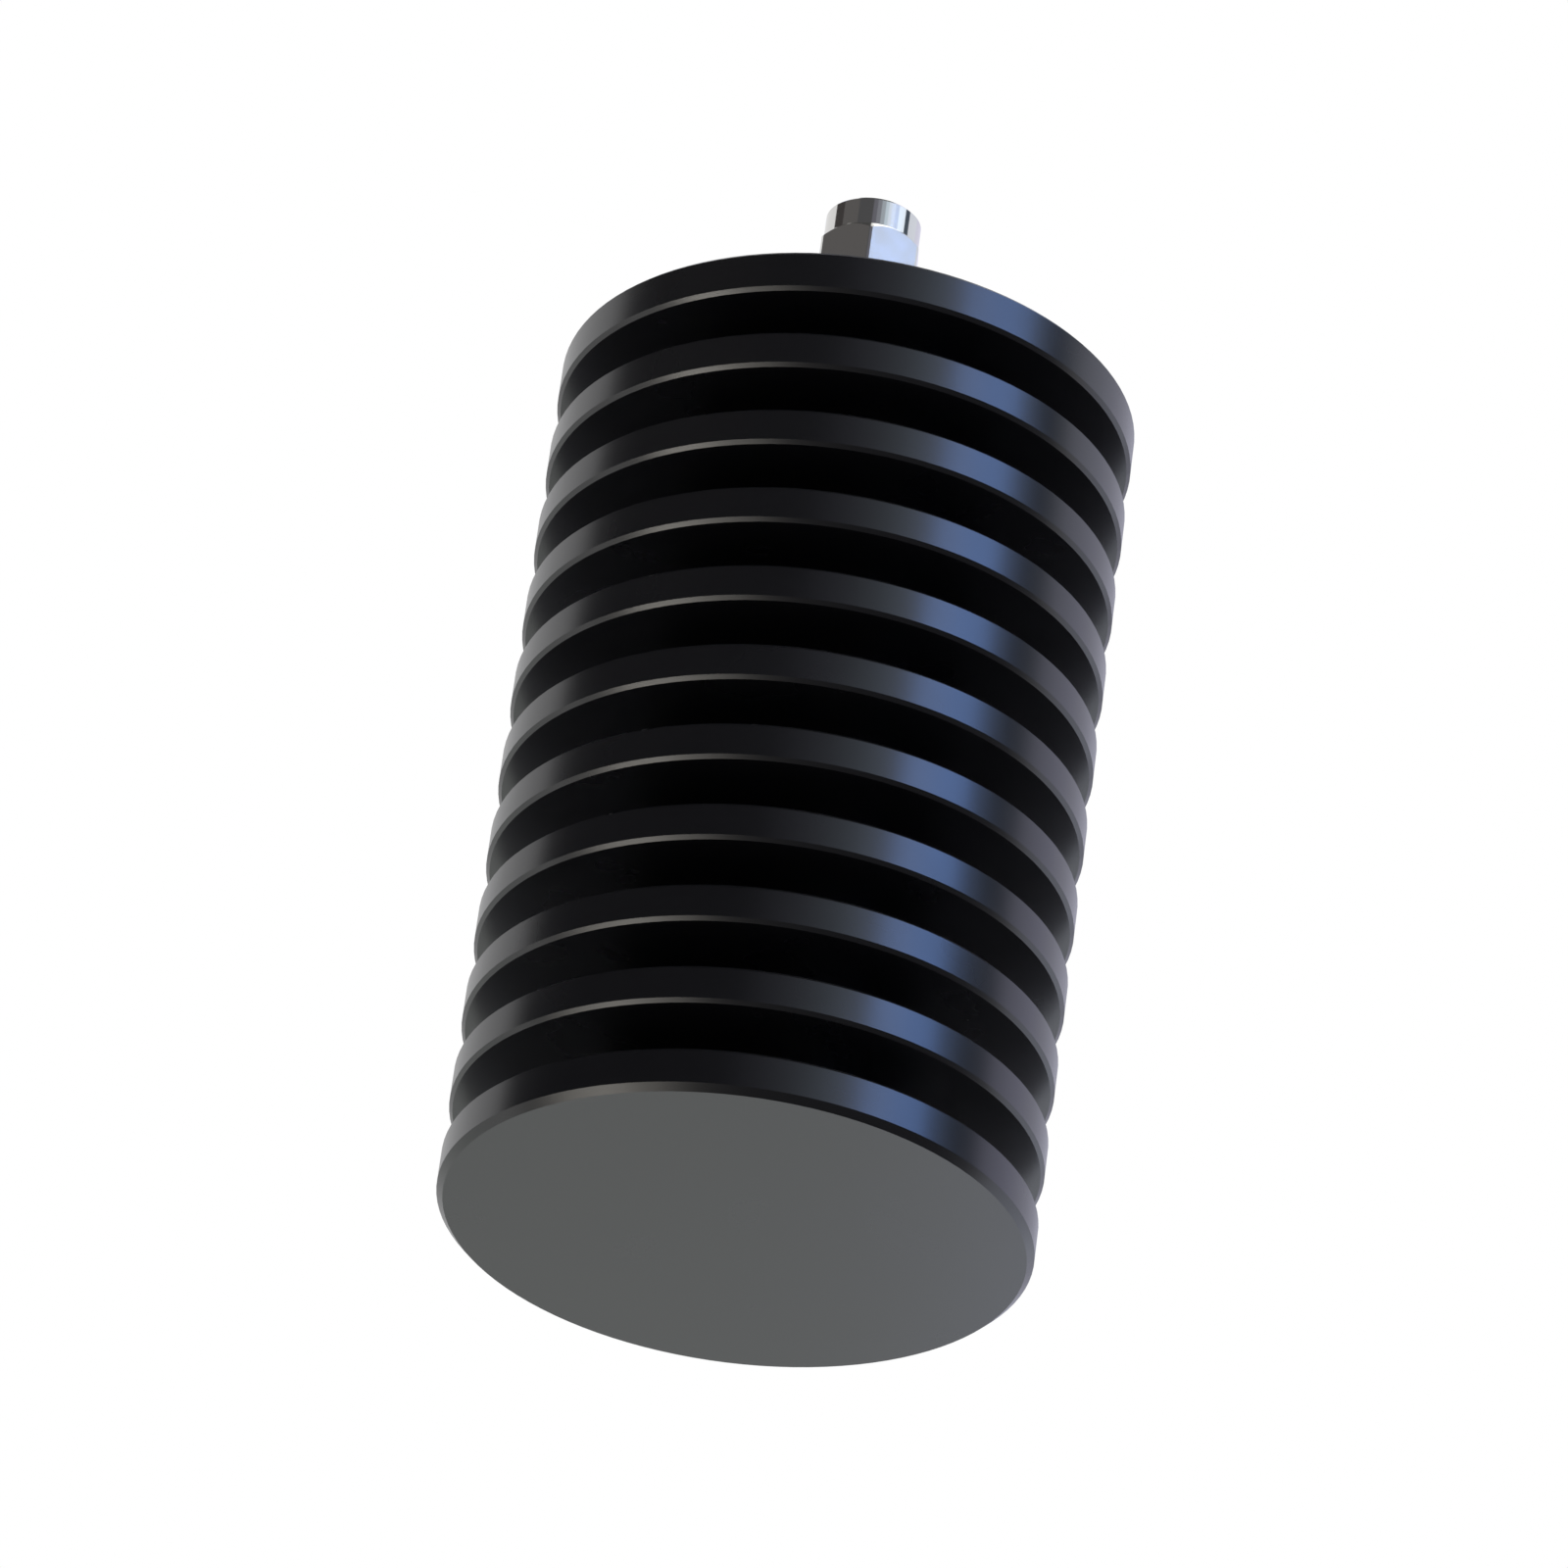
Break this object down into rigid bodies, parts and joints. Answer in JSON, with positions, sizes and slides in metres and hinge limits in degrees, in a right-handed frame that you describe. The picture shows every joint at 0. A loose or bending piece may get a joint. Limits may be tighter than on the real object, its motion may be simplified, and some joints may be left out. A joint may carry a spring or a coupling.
{
  "type": "coaxial dummy load",
  "caption": "One-port coaxial power load: a black finned cylindrical heat sink, blank at one end, with a small screw-on plug with a hexagonal coupling nut at the other.",
  "frame": {"origin": "centre of the blank end face, on which the part stands", "axes": "+Z along the axis of the heat sink and the plug, from the blank end to the plug"},
  "size_m": [0.047, 0.047, 0.0942],
  "materials": {
    "heat_sink": "black anodised, satin, turned",
    "core_base": "nickel plated, turned and milled",
    "core_cover": "nickel plated, milled",
    "cover_screws": "stainless",
    "grub_screws": "blackened alloy steel",
    "thermal_pad": "graphite sheet",
    "resistor_flange": "nickel plated copper",
    "resistor_chip": "aluminium nitride",
    "resistor_lid": "alumina",
    "resistor_tab": "silver",
    "resistor_screw": "stainless",
    "resistor_washer": "spring steel",
    "connector_shell": "bright nickel plated brass",
    "connector_screws": "stainless",
    "connector_washers": "spring steel",
    "coupling_nut": "bright nickel plated brass",
    "retaining_ring": "phosphor bronze",
    "seal_ring": "silicone rubber",
    "insulator": "PTFE",
    "centre_pin": "gold plated"
  },
  "bodies": {
    "load_body": {"heat_sink": "heat_sink", "core_base": "core_base", "core_cover": "core_cover", "cover_screws": "cover_screws", "grub_screws": "grub_screws", "thermal_pad": "thermal_pad", "resistor_flange": "resistor_flange", "resistor_chip": "resistor_chip", "resistor_lid": "resistor_lid", "resistor_tab": "resistor_tab", "resistor_screw": "resistor_screw", "resistor_washer": "resistor_washer", "connector_shell": "connector_shell", "connector_screws": "connector_screws", "connector_washers": "connector_washers", "retaining_ring": "retaining_ring", "seal_ring": "seal_ring", "insulator": "insulator", "centre_pin": "centre_pin"},
    "nut_body": {"coupling_nut": "coupling_nut"}
  },
  "joints": [
    {"name": "coupling_nut_spin", "type": "hinge", "parent": "load_body", "child": "nut_body", "pos_m": [0, 0, 0.0868], "axis": [0, 0, 1], "continuous": true}
  ]
}
